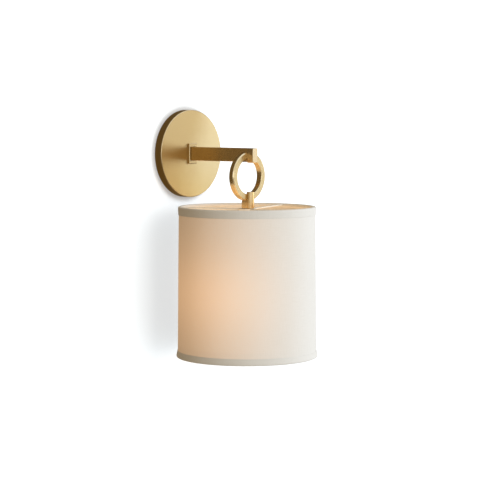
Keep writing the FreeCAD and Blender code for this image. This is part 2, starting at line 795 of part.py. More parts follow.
def make_centre_contact():
    """The sprung contact at the bottom of the boss, on a rivet."""
    return turned([(0, interior_bottom + 3), (0, interior_bottom - contact_drop),
                   (3.4, interior_bottom - contact_drop), (4.2, interior_bottom - 0.4),
                   (4.2, interior_bottom), (1.5, interior_bottom), (1.5, interior_bottom + 3)])


def make_socket_terminals():
    """The two screws that hold the leads."""
    return Part.makeCompound([screw(V(side * terminal_reach, -hang_axis, interior_top), V(0, 0, -1),
                                    terminal_dia, 5.5, terminal_head, 2.0) for side in (1, -1)])


# ---------------------------------------------------------------- leads
def make_lead(side):
    """One lead, held all the way: block, dish, arm, half the ring, stem, pipe, lampholder."""
    x = side * lead_side
    depth, height = lead_rows()[0 if side > 0 else 1]
    centre = V(0, -hang_axis, ring_z)
    # Dish and arm, then the quarter bend onto the ring's circle.
    enter = V(x, -hang_axis + lead_bend, bore_z)
    path = [V(block_offset + 2.5, depth, height), V(block_offset - 9, depth, height),
            V(block_offset - 14, depth, bore_z), V(x, depth, bore_z), enter]
    body = [tube(path, [lead_bend, lead_bend, 1.0], lead_dia)]
    tangent = V(side * math.cos(lead_on), 0, -math.sin(lead_on))
    normal = V(0, -1, 0).cross(tangent).normalize()
    disc = Part.Face(Part.Wire(Part.makeCircle(lead_dia / 2, enter, V(0, -1, 0))))
    body.append(disc.revolve(enter + tangent * lead_bend, normal, 90))
    # Half of the ring's circle.
    low = V(side * (lead_side + lead_bend), 0, 0)
    drop = math.sqrt((ring_mid_r + lead_bend) ** 2 - low.x ** 2)
    elbow = centre + V(low.x, 0, -drop)
    lead_off = math.atan2(abs(low.x), drop)
    start = centre + V(side * ring_mid_r * math.sin(lead_on), 0, ring_mid_r * math.cos(lead_on))
    disc = Part.Face(Part.Wire(Part.makeCircle(lead_dia / 2, start, tangent)))
    sweep = 180 - math.degrees(lead_on) - math.degrees(lead_off)
    body.append(disc.revolve(centre, V(0, side, 0), sweep))
    # The bend down into the stem.
    leave = centre + (elbow - centre) * (ring_mid_r / (ring_mid_r + lead_bend))
    along = V(-side * math.cos(lead_off), 0, -math.sin(lead_off))
    disc = Part.Face(Part.Wire(Part.makeCircle(lead_dia / 2, leave, along)))
    body.append(disc.revolve(elbow, V(0, -side, 0), 90 - math.degrees(lead_off)))
    # Down the pipe and out to the terminal.
    floor = interior_top + lead_dia / 2 + clear
    reach = terminal_reach - terminal_head / 2 - clear
    body.append(tube([V(x, -hang_axis, elbow.z), V(x, -hang_axis, floor),
                      V(side * reach, -hang_axis, floor)], [lead_bend], lead_dia))
    return body[0].multiFuse(body[1:]).removeSplitter()


# ---------------------------------------------------------------- lamp
def bulb_solid(inset):
    """The bulb's outline turned into a solid, set in by a wall thickness."""
    neck = bulb_neck_dia / 2 - inset
    r = bulb_r - inset
    throat = bulb_cap_dia / 2 - bulb_cap_thick - clear - inset
    rho = flare_radius + inset
    tangent = V(bulb_r * math.cos(flare), 0, bulb_centre + bulb_r * math.sin(flare))
    tangent -= V(math.cos(flare), 0, math.sin(flare)) * inset
    sag = rho * (1 - math.cos(flare / 2))
    top = bulb_cap_bottom + 3.0
    lowest = bulb_centre - r
    share = (math.pi / 2 + flare) / 2
    return turned([(0, top), (0, lowest),
                   (r * math.sin(share), bulb_centre - r * math.cos(share),
                    -r * (1 - math.cos(share / 2))),
                   (tangent.x, tangent.z, -r * (1 - math.cos((math.pi / 2 + flare - share) / 2))),
                   (neck, bulb_neck_end, sag), (neck, bulb_cap_bottom - 1.4),
                   (throat, bulb_cap_bottom - 0.2), (throat, top)])


def make_bulb_glass():
    """The glass envelope."""
    return bulb_solid(0.0).cut(bulb_solid(bulb_glass_thick))


def make_bulb_cap():
    """The threaded metal cap."""
    r = bulb_cap_dia / 2
    inner = r - bulb_cap_thick
    right, left = [], []
    z = bulb_cap_top - 1.5
    for k in range(int((bulb_cap_length - 6) // thread_pitch)):
        right += [(inner - thread_depth, z), (inner, z - thread_pitch / 2)]
        left += [(r - thread_depth, z), (r, z - thread_pitch / 2)]
        z -= thread_pitch
    inside = [(inner - thread_depth, bulb_cap_top)] + right + [(inner, bulb_cap_bottom)]
    outside = [(r - thread_depth, bulb_cap_top)] + left + [(r, bulb_cap_bottom)]
    return turned(inside + outside[::-1])


def make_bulb_insulator():
    """The dark glass between the cap and its tip."""
    r = bulb_cap_dia / 2 - thread_depth
    inner = bulb_cap_dia / 2 - bulb_cap_thick - thread_depth - clear
    high = bulb_cap_top + bulb_insulator_height
    return turned([(0, high), (0, bulb_cap_top - 2.5), (inner, bulb_cap_top - 2.5),
                   (inner, bulb_cap_top + clear), (r, bulb_cap_top + clear),
                   (bulb_tip_dia / 2 + 0.8, high)])


def make_bulb_tip():
    """The centre contact of the lamp."""
    low = bulb_cap_top + bulb_insulator_height + clear
    high = bulb_tip_top
    return turned([(0, high), (0, low), (bulb_tip_dia / 2, low), (bulb_tip_dia / 2, low + 0.5),
                   (bulb_tip_dia / 2 - 1.6, high)])


def make_bulb_mount():
    """The glass pillar inside the bulb, with a flare sealed in the neck."""
    top = bulb_cap_bottom + 2.0
    r = mount_dia / 2
    edge = bulb_cap_dia / 2 - bulb_cap_thick - clear - bulb_glass_thick - clear
    return turned([(0, top), (0, bulb_centre + 14), (r - 1.4, bulb_centre + 14),
                   (r - 0.6, bulb_centre + 16), (r, bulb_neck_end - 4), (edge, top - 2), (edge, top)])


def make_filament():
    """Two upright wires and the filament hung between them."""
    low = bulb_centre + 2
    foot = bulb_centre + 14
    spread = 9.0
    wires = []
    for side in (1, -1):
        start = V(side * 1.2, -hang_axis, foot - 0.4)
        end = V(side * spread, -hang_axis, low)
        line = end - start
        wires.append(rod(start, V(line).normalize(), line.Length, filament_wire))
    ends = [V(spread, -hang_axis, low), V(0, -hang_axis, low + 3), V(-spread, -hang_axis, low)]
    for a, b in zip(ends, ends[1:]):
        line = b - a
        wires.append(rod(a, V(line).normalize(), line.Length, filament_wire))
    wires += [Part.makeSphere(filament_wire / 2, p) for p in ends]
    return wires[0].multiFuse(wires[1:])


# ---------------------------------------------------------------- export
PIECES = {
    "backplate": make_backplate,
    "wall_bracket": make_wall_bracket,
    "rim_screws": make_rim_screws,
    "ground_screw": make_ground_screw,
    "terminal_block": make_terminal_block,
    "terminal_block_screws": make_terminal_block_screws,
    "arm_screws": make_arm_screws,
    "arm": make_arm,
    "arm_end_block": make_arm_end_block,
    "arm_pins": make_arm_pins,
    "arm_collar": make_arm_collar,
    "ring_lock_screw": make_ring_lock_screw,
    "ring": make_ring,
    "ring_cover": make_ring_cover,
    "stem": make_stem,
    "stem_pins": make_stem_pins,
    "lamp_pipe": make_lamp_pipe,
    "hub_nut": make_hub_nut,
    "socket_cap": make_socket_cap,
    "socket_shell": make_socket_shell,
    "socket_sleeve": make_socket_sleeve,
    "socket_interior": make_socket_interior,
    "screw_shell": make_screw_shell,
    "centre_contact": make_centre_contact,
    "socket_terminals": make_socket_terminals,
    "lead_right": lambda: make_lead(1),
    "lead_left": lambda: make_lead(-1),
    "spider": make_spider,
    "top_wire": make_top_wire,
    "bottom_wire": make_bottom_wire,
    "shade_fabric": make_shade_fabric,
    "shade_liner": make_shade_liner,
    "shade_seam": make_shade_seam,
    "top_trim": make_top_trim,
    "bottom_trim": make_bottom_trim,
    "bulb_glass": make_bulb_glass,
    "bulb_cap": make_bulb_cap,
    "bulb_insulator": make_bulb_insulator,
    "bulb_tip": make_bulb_tip,
    "bulb_mount": make_bulb_mount,
    "bulb_filament": make_filament,
}

os.makedirs("parts", exist_ok=True)
for name, make in PIECES.items():
    shape = make()
    shape.exportStep("parts/" + name + ".step")
    box = shape.BoundBox
    print(f"{name}: {len(shape.Solids)} solid(s), valid {shape.isValid()}, "
          f"x {box.XMin:.1f} {box.XMax:.1f}, y {box.YMin:.1f} {box.YMax:.1f}, "
          f"z {box.ZMin:.1f} {box.ZMax:.1f}")
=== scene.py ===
# %% [markdown]
# # A brass wall light with a fabric drum shade
#
# The CAD frame holds every real piece of the light: the dish on the wall, the flat arm, the
# ring, the stem, the spider, the laminated shade, the lampholder and the lamp. This lesson
# dresses that frame. It measures the frame, sets the camera as the photograph has it, makes the
# cloth of the shade, mixes one procedural material for each substance, and lights it all in a
# plain studio.

import math

import bmesh
import bpy
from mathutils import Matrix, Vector


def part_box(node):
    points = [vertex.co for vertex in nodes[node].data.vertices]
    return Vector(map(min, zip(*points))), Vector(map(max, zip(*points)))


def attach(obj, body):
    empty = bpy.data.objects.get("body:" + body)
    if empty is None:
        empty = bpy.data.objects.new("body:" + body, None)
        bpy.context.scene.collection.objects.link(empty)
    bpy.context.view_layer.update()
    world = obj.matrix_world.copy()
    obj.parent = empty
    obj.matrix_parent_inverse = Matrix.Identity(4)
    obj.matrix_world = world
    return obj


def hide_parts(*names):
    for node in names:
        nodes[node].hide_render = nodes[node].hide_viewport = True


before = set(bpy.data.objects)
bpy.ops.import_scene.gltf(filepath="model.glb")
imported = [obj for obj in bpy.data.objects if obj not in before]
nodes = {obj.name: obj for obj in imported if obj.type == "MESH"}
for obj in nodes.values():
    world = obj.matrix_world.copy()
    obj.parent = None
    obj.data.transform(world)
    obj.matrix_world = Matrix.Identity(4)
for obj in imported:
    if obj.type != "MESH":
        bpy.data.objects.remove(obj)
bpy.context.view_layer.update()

# %% [markdown]
# ## Sizes read from the frame
#
# Nothing is measured twice. The hanging axis, the edges of the cloth and its tapes, and the
# middle of the lamp all come from the boxes of the CAD nodes, in metres.

# %%
def middle(node):
    """The middle of a CAD node's box."""
    low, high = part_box(node)
    return [(a + b) / 2 for a, b in zip(low, high)]


def radius(node):
    """Half the width of a round CAD node."""
    low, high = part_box(node)
    return (high[0] - low[0]) / 2


axis_y = middle("hub_nut")[1]
cloth_low, cloth_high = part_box("shade_fabric")
tape_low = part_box("bottom_trim")[1][2]
tape_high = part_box("top_trim")[0][2]
lamp_low, lamp_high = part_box("bulb_glass")
lamp_z = lamp_low[2] + radius("bulb_glass")
print(f"hanging axis {-1000 * axis_y:.1f} mm from the wall, lamp at {1000 * lamp_z:.1f} mm")
print(f"bare cloth from {1000 * tape_high:.1f} to {1000 * tape_low:.1f} mm")

# %% [markdown]
# ## Camera
#
# A long lens looks from the left of the light, a little above the shade. The place, the aim and
# the focal length come from fitting a camera to the outlines in the photograph: the two
# ellipses of the dish, the edges of the arm, the ring and the rims of the shade.

# %%
CAMERA_PLACE = Vector((-1.8459, -1.7468, 0.0743))
CAMERA_AIM = Vector((0.02106, -0.08331, -0.11806))
CAMERA_LENS = 136.58

lens = bpy.data.cameras.new("camera")
lens.lens = CAMERA_LENS
lens.sensor_width = 36.0
lens.clip_start = 0.05
lens.clip_end = 50.0
camera = bpy.data.objects.new("camera", lens)
bpy.context.collection.objects.link(camera)
camera.location = CAMERA_PLACE
camera.rotation_euler = (CAMERA_AIM - CAMERA_PLACE).to_track_quat("-Z", "Y").to_euler()
bpy.context.scene.camera = camera
bpy.context.scene.view_settings.view_transform = "Standard"
print(f"camera {(CAMERA_AIM - CAMERA_PLACE).length:.2f} m away, lens {CAMERA_LENS} mm")

# %% [markdown]
# ## Short ways to write node trees
#
# `Net` wraps a node tree, so that a material reads as a few lines. `feed` joins a socket to
# another, or sets it where the value is a plain number or colour.

# %%
class Net:
    """A node tree with short ways to add and join nodes."""

    def __init__(self, tree):
        self.tree = tree

    def add(self, kind, inputs=None, **props):
        node = self.tree.nodes.new(kind)
        for key, value in props.items():
            setattr(node, key, value)
        for key, value in (inputs or {}).items():
            self.feed(node.inputs[key], value)
        return node

    def feed(self, socket, value):
        if isinstance(value, bpy.types.NodeSocket):
            self.tree.links.new(value, socket)
        else:
            socket.default_value = value

    def math(self, operation, *values, clamp=False):
        node = self.add("ShaderNodeMath", dict(enumerate(values)), operation=operation,
                        use_clamp=clamp)
        return node.outputs[0]

    def vector(self, operation, a, b):
        return self.add("ShaderNodeVectorMath", {0: a, 1: b}, operation=operation).outputs[0]

    def dot(self, a, b):
        node = self.add("ShaderNodeVectorMath", {0: a, 1: b}, operation="DOT_PRODUCT")
        return node.outputs["Value"]

    def scale(self, colour, amount):
        inputs = {0: colour, "Scale": amount}
        return self.add("ShaderNodeVectorMath", inputs, operation="SCALE").outputs[0]

    def split(self, vector):
        return self.add("ShaderNodeSeparateXYZ", {"Vector": vector}).outputs

    def mix(self, share, a, b, blend="MIX"):
        node = self.add("ShaderNodeMix", data_type="RGBA", blend_type=blend)
        self.feed(node.inputs["Factor"], share)
        self.feed(node.inputs[6], a)
        self.feed(node.inputs[7], b)
        return node.outputs[2]

    def noise(self, place, scale, detail=3.0, rough=0.5):
        inputs = {"Vector": place, "Scale": scale, "Detail": detail, "Roughness": rough}
        return self.add("ShaderNodeTexNoise", inputs).outputs["Fac"]

    def band(self, value, low, high, out_low=0.0, out_high=1.0):
        inputs = {"Value": value, "From Min": low, "From Max": high,
                  "To Min": out_low, "To Max": out_high}
        node = self.add("ShaderNodeMapRange", inputs, interpolation_type="SMOOTHSTEP")
        return node.outputs[0]

    def object_place(self):
        return self.add("ShaderNodeTexCoord").outputs["Object"]

    def light_path(self):
        return self.add("ShaderNodeLightPath").outputs


print("Net can add:", ", ".join(key for key in vars(Net) if not key.startswith("_")))

# %% [markdown]
# ## Materials from groups
#
# What is the same all over a surface goes straight onto the shader's socket. What varies is
# worked out inside a named node group, which hands back colours, masks and heights. Light paths
# stay in the material itself.

# %%
SOCKETS = {"value": "NodeSocketFloat", "colour": "NodeSocketColor", "vector": "NodeSocketVector"}


def group(name, inputs, outputs):
    """A new node group whose inputs and outputs are (name, kind)."""
    tree = bpy.data.node_groups.new(name, "ShaderNodeTree")
    for side, sockets in (("INPUT", inputs), ("OUTPUT", outputs)):
        for label, kind in sockets:
            tree.interface.new_socket(label, in_out=side, socket_type=SOCKETS[kind])
    net = Net(tree)
    return tree, net, net.add("NodeGroupInput").outputs, net.add("NodeGroupOutput").inputs


def material(name, colour, roughness, metallic=0.0, **sockets):
    """A material with one Principled shader: (material, its net, the shader's inputs)."""
    made = bpy.data.materials.new(name)
    made.use_nodes = True
    made.diffuse_color = colour
    inputs = made.node_tree.nodes["Principled BSDF"].inputs
    inputs["Base Color"].default_value = colour
    inputs["Roughness"].default_value = roughness
    inputs["Metallic"].default_value = metallic
    for key, value in sockets.items():
        inputs[key.replace("_", " ")].default_value = value
    return made, Net(made.node_tree), inputs


def use(net, tree, **inputs):
    """A group inside a material, with its inputs fed."""
    return net.add("ShaderNodeGroup", inputs, node_tree=tree).outputs


def emboss(net, inputs, height, strength, depth):
    """Bump from a height, on a Principled shader's inputs."""
    bumped = net.add("ShaderNodeBump", {"Strength": strength, "Distance": depth, "Height": height})
    net.feed(inputs["Normal"], bumped.outputs[0])


def dress(made, *names):
    """These CAD nodes wear this material."""
    for name in names:
        mesh = nodes[name].data
        mesh.materials.clear()
        mesh.materials.append(made)
    print(f"{made.name}: {', '.join(names)}")


print("a group's sockets:", ", ".join(SOCKETS))

# %% [markdown]
# ## Brass, once for all pieces
#
# The metal of such a light is solid brass, brushed with a fine abrasive and lacquered to a
# satin skin. The group makes its detail in layers:
#
# - Streaks, far finer than a pixel, run along the brushing. They change tone, roughness and
#   height.
# - A broad cloud moves the tone between a low and a high colour. A drift across the piece moves
#   it too: painted light and shade, lighter where more light falls.
# - A warm cast grows towards the light that comes out of the shade: a painted reflection of its
#   glow.
# - Small specks dull the skin where it has been handled.
# - Chamfered edges take a pale colour, a painted highlight for the glint of light along them.
#   They are found from the direction of the surface: they face neither straight out nor sideways.

# %%
FINE, COARSE, CLOUD, SPECKS = 4200.0, 700.0, 22.0, 900.0
PAINTED_WARM_REFLECTION = (1.0, 0.93, 0.74, 1)
DULL_SPECK = (0.50, 0.34, 0.16, 1)
PAINTED_EDGE_GLINT = (0.97, 0.85, 0.60, 1)

brass_tree, net, take, give = group(
    "brushed_brass",
    [("Place", "vector"), ("Facing", "vector"), ("Streaks", "vector"), ("Drift", "vector"),
     ("Warm", "vector"), ("Low", "colour"), ("High", "colour"), ("Edge", "value"),
     ("Rough", "value")],
    [("Color", "colour"), ("Roughness", "value"), ("Height", "value")])

along = net.vector("MULTIPLY", take["Place"], take["Streaks"])
streak = net.math("ADD", net.math("MULTIPLY", net.noise(along, FINE, 3.0, 0.6), 0.9),
                  net.math("MULTIPLY", net.noise(along, COARSE, 3.0, 0.6), 0.1))
cloud = net.noise(take["Place"], CLOUD, 4.0, 0.55)
specks = net.band(net.noise(take["Place"], SPECKS, 2.0, 0.7), 0.60, 0.78)

# The drift paints light and shade: the tone grows lighter across the piece where more light falls.
broad = net.math("ADD", net.math("MULTIPLY_ADD", cloud, 0.5, 0.25),
                 net.dot(take["Place"], take["Drift"]))
tone = net.mix(net.band(broad, 0.25, 0.95), take["Low"], take["High"])
# Painted reflection: the warm cast of the shade's glow, growing towards it.
warm_reflection = net.math("MULTIPLY", net.dot(take["Place"], take["Warm"]), 1.0, clamp=True)
tone = net.mix(warm_reflection, tone, PAINTED_WARM_REFLECTION, "MULTIPLY")
tone = net.mix(net.band(streak, 0.3, 0.7, 0.0, 0.16), tone, take["High"])
tone = net.mix(net.math("MULTIPLY", specks, 0.15), tone, DULL_SPECK)
# Painted highlight: chamfered edges, found from the facing, take a pale colour for their glint.
outward = net.math("ABSOLUTE", net.split(take["Facing"])["Y"])
glint_band = net.math("MULTIPLY", net.band(outward, 0.30, 0.50),
                 net.band(outward, 0.85, 0.95, 1.0, 0.0))
net.feed(give["Color"], net.mix(net.math("MULTIPLY", glint_band, take["Edge"]), tone, PAINTED_EDGE_GLINT))

rough = net.math("ADD", net.band(streak, 0.3, 0.7, 0.0, 0.10), take["Rough"])
rough = net.math("ADD", rough, net.math("MULTIPLY", specks, 0.05))
net.feed(give["Roughness"], net.math("ADD", rough, net.math("MULTIPLY", cloud, 0.06)))
net.feed(give["Height"], streak)
print(f"{brass_tree.name}: {len(brass_tree.nodes)} nodes")

# %% [markdown]
# ## Brushing directions
#
# A streak is noise that is squeezed across the brushing and stretched along it. The three
# factors below multiply X, Y and Z before the noise is read. On the ring the brushing follows
# the front face, so there it is stretched in both directions of that face.

# %%
UPRIGHT, ON_DISH = (3.0, 3.0, 0.06), (3.0, 1.0, 0.06)
ALONG_ARM, ACROSS, ROUND = (3.0, 0.06, 3.0), (0.10, 3.0, 3.0), (0.30, 3.0, 0.30)
STILL = (0.0, 0.0, 0.0)
PLAIN_BRASS = (0.74, 0.54, 0.27, 1)
STREAK_DEPTH = 0.00004


# The pieces are one brass. Part of the difference between their tones is painted light and shade,
# set to how bright each piece shows in the room.
def brass(name, streaks, tones, edge_glint=0.0, rough=0.2, bump=0.05, light_drift=STILL, warm_reflection=STILL):
    """Brushed brass in two tones. The drift, painted light and shade, and the warm cast, a painted
    reflection, say how much either grows for each metre. The edge share is a painted highlight.
    """
    made, net, inputs = material(name, PLAIN_BRASS, 0.32, 1.0)
    facing = net.add("ShaderNodeTexCoord").outputs["Normal"]
    out = use(net, brass_tree, Place=net.object_place(), Facing=facing, Streaks=streaks,
              Drift=light_drift, Warm=warm_reflection, Low=tones[0], High=tones[1], Edge=edge_glint, Rough=rough)
    net.feed(inputs["Base Color"], out["Color"])
    net.feed(inputs["Roughness"], out["Roughness"])
    emboss(net, inputs, out["Height"], bump, STREAK_DEPTH)
    return made


print("a streak on the arm is", round(ALONG_ARM[0] / ALONG_ARM[1]), "times as long as wide")

# %% [markdown]
# ## The dish on the wall
#
# The dish is spun or turned from sheet, and brushed upright on its face. In the photograph it
# brightens to the right, where the room's light comes from, and turns warmer at the lower left.
# Real rooms give a broad satin face such a gradient. The studio is plain, so the drift and the
# warm cast stand in for that room: the drift is painted light and shade, the warm cast a painted
# reflection of the shade's glow.

# %%
DISH_TONES = ((0.52, 0.37, 0.17, 1), (0.68, 0.55, 0.315, 1))

dress(brass("brass_plate", ON_DISH, DISH_TONES, edge_glint=0.8, rough=0.25, bump=0.015,
            light_drift=(10.0, 0.0, -4.0), warm_reflection=(-8.0, 0.0, -20.0)), "backplate")

# %% [markdown]
# ## The arm, its block and its collar
#
# The arm is a drawn flat bar, brushed along its length. Its side is darkest at the wall: its deep
# low tone and its drift paint that shade, lighter towards the end. The block that closes the arm's
# end, and the collar at its root, are sawn from bar and brushed across. The block's pale tones
# paint the highlight on its end, and the collar's dark tones paint shade. Both have a painted
# highlight on their edges.

# %%
ARM_TONES = ((0.36, 0.24, 0.08, 1), (0.86, 0.63, 0.33, 1))
BLOCK_TONES = ((0.74, 0.57, 0.34, 1), (0.81, 0.66, 0.45, 1))
COLLAR_TONES = ((0.50, 0.36, 0.17, 1), (0.58, 0.43, 0.23, 1))

dress(brass("brass_along", ALONG_ARM, ARM_TONES, bump=0.03, light_drift=(0.0, -4.0, 0.0)),
      "arm", "ring_lock_screw")
dress(brass("brass_across", ACROSS, BLOCK_TONES, edge_glint=1.0), "arm_end_block")
dress(brass("brass_collar", ACROSS, COLLAR_TONES, edge_glint=0.6), "arm_collar")

# %% [markdown]
# ## The ring, the stem and the lampholder's shell
#
# The ring is turned, so it is smoother than the bars and reflects the lit inside of the shade.
# The stem is a milled bar. The shell of the lampholder is drawn sheet in the same finish, as
# are the small screws that show.

# %%
RING_TONES = ((0.66, 0.50, 0.26, 1), (0.74, 0.59, 0.34, 1))
STEM_TONES = ((0.72, 0.48, 0.20, 1), (0.82, 0.59, 0.30, 1))
SHELL_TONES = ((0.78, 0.54, 0.25, 1), (0.86, 0.63, 0.34, 1))

dress(brass("brass_round", ROUND, RING_TONES, edge_glint=1.0, rough=0.17), "ring", "ring_cover")
dress(brass("brass_stem", UPRIGHT, STEM_TONES, edge_glint=0.5, rough=0.13), "stem")
dress(brass("brass_upright", UPRIGHT, SHELL_TONES),
      "socket_shell", "socket_cap", "hub_nut", "rim_screws")

# %% [markdown]
# ## The cloth of the shade
#
# A hardback shade is cloth bonded to a stiff backing sheet and rolled round two wire hoops. The
# CAD's outer skin is a plain cone. Here it becomes a fine mesh in the same place, wrapped once
# round the drum. Its overlap, at the wall, is the CAD's own seam strip. Three broad swells and
# eleven ripples, each under a tenth of a millimetre high, catch the light as bonded cloth does.
# The swells die out at the rims, where the hoops hold the cloth round.

# %%
AROUND, UP = 360, 60
SWELLS, SWELL = 3, 0.00009
RIPPLES, RIPPLE = 11, 0.00006
NEAR_EDGE = 0.002


def edge_radius(node, height):
    """The largest distance of a CAD node's vertices from the hanging axis, near a height."""
    return max(math.hypot(v.co.x, v.co.y - axis_y) for v in nodes[node].data.vertices
               if abs(v.co.z - height) < NEAR_EDGE)


def unevenness(turn, share):
    """How far the cloth stands out, at an angle and at a share of the way down."""
    swell = SWELL * math.sin(SWELLS * turn + 1.3 * math.sin(5 * share)) * math.sin(math.pi * share)
    return swell + RIPPLE * math.sin(RIPPLES * turn + 4.0 * share)


top_r = edge_radius("shade_fabric", cloth_high[2])
bottom_r = edge_radius("shade_fabric", cloth_low[2])
build = bmesh.new()
rows = []
for k in range(UP + 1):
    share = k / UP
    z = cloth_high[2] + (cloth_low[2] - cloth_high[2]) * share
    row = []
    for j in range(AROUND):
        turn = 2 * math.pi * j / AROUND
        r = top_r + (bottom_r - top_r) * share + unevenness(turn, share)
        row.append(build.verts.new((r * math.sin(turn), axis_y - r * math.cos(turn), z)))
    rows.append(row)
for upper, lower in zip(rows, rows[1:]):
    for j in range(AROUND):
        n = (j + 1) % AROUND
        build.faces.new((upper[j], lower[j], lower[n], upper[n])).smooth = True
mesh = bpy.data.meshes.new("shade_cloth")
build.to_mesh(mesh)
build.free()
cloth = bpy.data.objects.new("shade_cloth", mesh)
bpy.context.collection.objects.link(cloth)
print(f"cloth: {len(mesh.polygons)} faces, radius {1000 * top_r:.1f} to {1000 * bottom_r:.1f} mm")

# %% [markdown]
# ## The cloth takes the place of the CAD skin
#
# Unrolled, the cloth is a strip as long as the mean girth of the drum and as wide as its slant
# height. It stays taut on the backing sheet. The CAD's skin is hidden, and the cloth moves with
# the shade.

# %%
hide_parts("shade_fabric")
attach(cloth, "shade")

# %% [markdown]
# ## Weave
#
# The cloth is a plain weave of fine thread with a few thicker threads, called slubs, in both
# directions. The group works on the unrolled cloth, in arc length and height, so the threads
# run level and upright all the way round, and the two ends meet at the wall, under the seam
# strip. One wave of the pattern is a pair of threads, one over and one under. The group hands
# back the crossed threads, the slubs, and a broad cloud for the cloth's uneven dye.

# %%
THREAD_PAIR = 0.0006
MEAN_RADIUS = 0.0935
SLUB_SCALE, SLUB_STRETCH = 1500.0, 0.04

weave_tree, net, take, give = group(
    "weave", [("Place", "vector")],
    [("Threads", "value"), ("Slubs", "value"), ("Cloud", "value")])
place = net.split(take["Place"])
from_axis = net.math("MULTIPLY", net.math("SUBTRACT", place["Y"], axis_y), -1.0)
arc = net.math("MULTIPLY", net.math("ARCTAN2", place["X"], from_axis), MEAN_RADIUS)
unrolled = net.add("ShaderNodeCombineXYZ", {"X": arc, "Y": place["Z"]}).outputs[0]

warp, weft = [
    net.math("SINE", net.math("DIVIDE", net.math("MULTIPLY", way, 2 * math.pi), THREAD_PAIR))
    for way in (arc, place["Z"])]
crossed = net.math("MULTIPLY", net.math("MULTIPLY", warp, weft), 0.5)
net.feed(give["Threads"], net.math("ADD", crossed, 0.5))

slubs = [net.noise(net.vector("MULTIPLY", unrolled, stretch), SLUB_SCALE, 2.0, 0.6)
         for stretch in ((1.0, SLUB_STRETCH, 1.0), (SLUB_STRETCH, 1.0, 1.0))]
net.feed(give["Slubs"], net.math("MULTIPLY", net.math("ADD", *slubs), 0.5))
net.feed(give["Cloud"], net.noise(unrolled, 14.0, 3.0, 0.5))
print(f"{weave_tree.name}: {0.002 / THREAD_PAIR:.1f} threads to the millimetre")
print(f"mean radius {1000 * (top_r + bottom_r) / 2:.3f} mm, taken as {1000 * MEAN_RADIUS:.1f} mm")

# %% [markdown]
# ## Glow
#
# The lamp shines through the shade. `Amount` says how much of its light reaches a place. It is
# one level with the lamp, where the way is shortest, and falls with the distance and with the
# slant at which the light meets the drum, together the third power of the distance. It drops a
# little at the tapes. `Wash` says how well the glow shows against the room's light. In the
# photograph it shows on the side away from the windows and drowns towards them. That depends on
# the room, so it is worked out from the place in the room, and stays put while the shade turns.

# %%
REACH = 0.094
TO_WINDOWS = (0.665, -0.747, 0.0)
TAPE_EDGE, UNDER_TAPE = 0.0006, 0.86

glow_tree, net, take, give = group(
    "glow", [("Place", "vector"), ("Room", "vector")], [("Amount", "value"), ("Wash", "value")])
height = net.split(take["Place"])["Z"]
rise = net.math("SUBTRACT", height, lamp_z)
far = net.math("POWER", net.math("ADD", net.math("MULTIPLY", rise, rise), REACH * REACH), 0.5)
level = net.math("POWER", net.math("DIVIDE", REACH, far), 3.0)
bare = net.math(
    "MULTIPLY",
    net.band(height, tape_low - TAPE_EDGE, tape_low + TAPE_EDGE, UNDER_TAPE, 1.0),
    net.band(height, tape_high - TAPE_EDGE, tape_high + TAPE_EDGE, 1.0, UNDER_TAPE))
net.feed(give["Amount"], net.math("MULTIPLY", level, bare))

from_axis = net.vector("SUBTRACT", take["Room"], (0.0, axis_y, 0.0))
side = net.math("DIVIDE", net.dot(from_axis, TO_WINDOWS), REACH)
far_side = net.band(side, -1.0, -0.6, 0.90, 1.05)
drowned = net.band(side, -0.6, 1.0, 1.0, 0.0)
net.feed(give["Wash"], net.math("MULTIPLY", far_side, drowned))
print(f"{glow_tree.name}: {len(glow_tree.nodes)} nodes")

# %% [markdown]
# ## Cloth and tape
#
# The cloth is off-white, matt, with a trace of sheen. Its thin places between slubs let more
# light through. The tape is the same cloth folded over the hoops, so it is thicker and hardly
# glows. The glow is light that the surface gives off. Rays that carry light on to other
# surfaces get only a share of it, because the point of light inside the drum already lights the
# room.

# %%
WEAVE_DEPTH, WEAVE_BUMP = 0.00012, 0.35
SPILL = 0.15
CLOTH_TONES = ((0.82, 0.815, 0.805, 1), (0.78, 0.775, 0.76, 1))
CLOTH_GLOW = (1.0, 0.51, 0.225)
TAPE_TONES = ((0.81, 0.805, 0.795, 1), (0.77, 0.765, 0.75, 1))
TAPE_GLOW = (1.0, 0.50, 0.20)


def cloth_material(name, tones, glow, through, floor):
    """Woven cloth that lets this much light through near the lamp, and this much all over."""
    made, net, inputs = material(name, tones[0], 0.85, Sheen_Weight=0.12, Sheen_Roughness=0.5)
    place = net.object_place()
    weave = use(net, weave_tree, Place=place)
    room = net.add("ShaderNodeNewGeometry").outputs["Position"]
    lit = use(net, glow_tree, Place=place, Room=room)

    tint = net.mix(net.band(weave["Slubs"], 0.35, 0.65), tones[1], tones[0])
    tint = net.mix(net.math("MULTIPLY", weave["Cloud"], 0.25), tint, tones[1])
    net.feed(inputs["Base Color"], tint)
    net.feed(inputs["Roughness"], net.band(weave["Threads"], 0.0, 1.0, 0.92, 0.78))

    amount = net.math("ADD", net.math("MULTIPLY", lit["Amount"], through), floor)
    amount = net.math("MULTIPLY", amount, lit["Wash"])
    amount = net.math("MULTIPLY", amount, net.band(weave["Slubs"], 0.3, 0.7, 1.04, 0.96))
    carried = net.math("MULTIPLY_ADD", net.light_path()["Is Diffuse Ray"], SPILL - 1.0, 1.0)
    net.feed(inputs["Emission Color"], net.scale(glow, net.math("MULTIPLY", amount, carried)))
    inputs["Emission Strength"].default_value = 1.0
    height = net.math("ADD", weave["Threads"], weave["Slubs"])
    emboss(net, inputs, height, WEAVE_BUMP, WEAVE_DEPTH)
    return made


